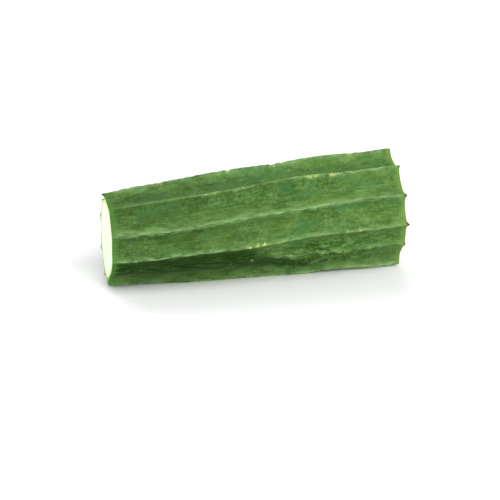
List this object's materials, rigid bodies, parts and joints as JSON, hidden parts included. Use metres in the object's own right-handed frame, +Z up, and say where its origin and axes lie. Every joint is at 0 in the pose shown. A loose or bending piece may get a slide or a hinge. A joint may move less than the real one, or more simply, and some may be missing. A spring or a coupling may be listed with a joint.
{
  "type": "ridge gourd",
  "caption": "Cut section of a ridge gourd lying on its side, a tapering green fruit with sharp ridges along it, hollow furrows between them and a flat pale cut face at each end.",
  "frame": {"origin": "centre of the base of the bounding box, on the surface that the piece lies on", "axes": "+X along the fruit towards its thick cut end, +Z up, Y across the fruit"},
  "size_m": [0.1514, 0.0604, 0.0588],
  "materials": {
    "rind": "satin"
  },
  "bodies": {
    "root": {"ridge_gourd": "rind"}
  },
  "joints": []
}
